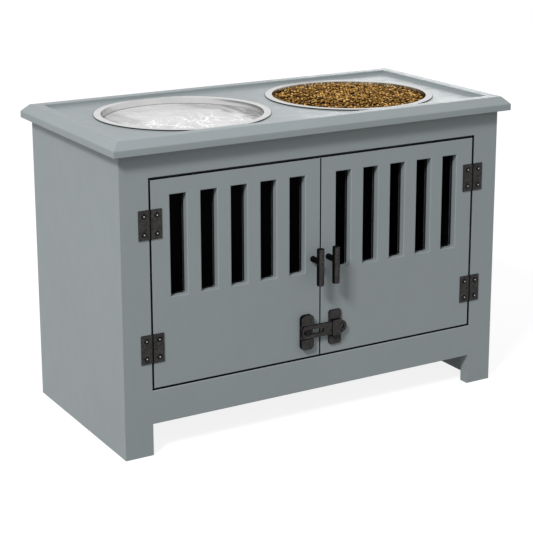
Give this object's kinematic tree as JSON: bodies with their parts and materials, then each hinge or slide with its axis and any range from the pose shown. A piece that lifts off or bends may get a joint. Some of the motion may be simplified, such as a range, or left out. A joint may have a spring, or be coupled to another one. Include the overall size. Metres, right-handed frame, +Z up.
{
  "type": "raised pet feeder cabinet",
  "caption": "Raised pet feeder: a low painted cabinet with slotted doors on butt hinges, a slide latch, finger pulls, and drop-in metal bowls in a recessed table top.",
  "frame": {"origin": "on the floor, under the middle of the whole part's box, pulls included", "axes": "+Z up, the doors and pulls face -Y, +X to the right of someone who faces the doors; X is the width"},
  "size_m": [0.6, 0.3104, 0.414],
  "materials": {
    "painted_board": "smooth grey paint, satin",
    "black_metal": "matte black powder coat",
    "bowl_steel": "satin stainless steel",
    "dowel_wood": "bare beech"
  },
  "bodies": {
    "cabinet": {"side_panel_left": "painted_board", "side_panel_right": "painted_board", "stile_left": "painted_board", "stile_right": "painted_board", "top_rail": "painted_board", "bottom_rail": "painted_board", "floor_panel": "painted_board", "back_panel": "painted_board", "table_top": "painted_board", "floor_dowels": "dowel_wood", "top_dowels": "dowel_wood", "rail_dowels": "dowel_wood", "back_screws": "black_metal", "hinge_frame_leaf_left_upper": "black_metal", "hinge_frame_leaf_left_lower": "black_metal", "hinge_frame_leaf_right_upper": "black_metal", "hinge_frame_leaf_right_lower": "black_metal", "hinge_pin_left_upper": "black_metal", "hinge_pin_left_lower": "black_metal", "hinge_pin_right_upper": "black_metal", "hinge_pin_right_lower": "black_metal", "hinge_screws_frame": "black_metal"},
    "left_door": {"door_left": "painted_board", "hinge_door_leaf_left_upper": "black_metal", "hinge_door_leaf_left_lower": "black_metal", "hinge_screws_door_left": "black_metal", "pull_left": "black_metal", "pull_screw_left": "bowl_steel", "latch_housing": "black_metal", "latch_housing_screws": "black_metal", "latch_rivet": "black_metal"},
    "latch": {"latch_bar": "black_metal"},
    "right_door": {"door_right": "painted_board", "hinge_door_leaf_right_upper": "black_metal", "hinge_door_leaf_right_lower": "black_metal", "hinge_screws_door_right": "black_metal", "pull_right": "black_metal", "pull_screw_right": "bowl_steel", "latch_keeper": "black_metal", "latch_keeper_screws": "black_metal"},
    "left_bowl": {"bowl_left": "bowl_steel"},
    "right_bowl": {"bowl_right": "bowl_steel"}
  },
  "joints": [
    {"name": "left_door_hinge", "type": "hinge", "parent": "cabinet", "child": "left_door", "pos_m": [-0.2475, -0.13335, 0.2235], "axis": [0, 0, -1], "range_deg": [0, 170]},
    {"name": "right_door_hinge", "type": "hinge", "parent": "cabinet", "child": "right_door", "pos_m": [0.2475, -0.13335, 0.2235], "axis": [0, 0, 1], "range_deg": [0, 170]},
    {"name": "latch_slide", "type": "slide", "parent": "left_door", "child": "latch", "axis": [1, 0, 0], "range_m": [-0.0235, 0.0037]},
    {"name": "left_bowl_lift", "type": "slide", "parent": "cabinet", "child": "left_bowl", "axis": [0, 0, 1], "range_m": [0, 0.095]},
    {"name": "right_bowl_lift", "type": "slide", "parent": "cabinet", "child": "right_bowl", "axis": [0, 0, 1], "range_m": [0, 0.095]}
  ]
}
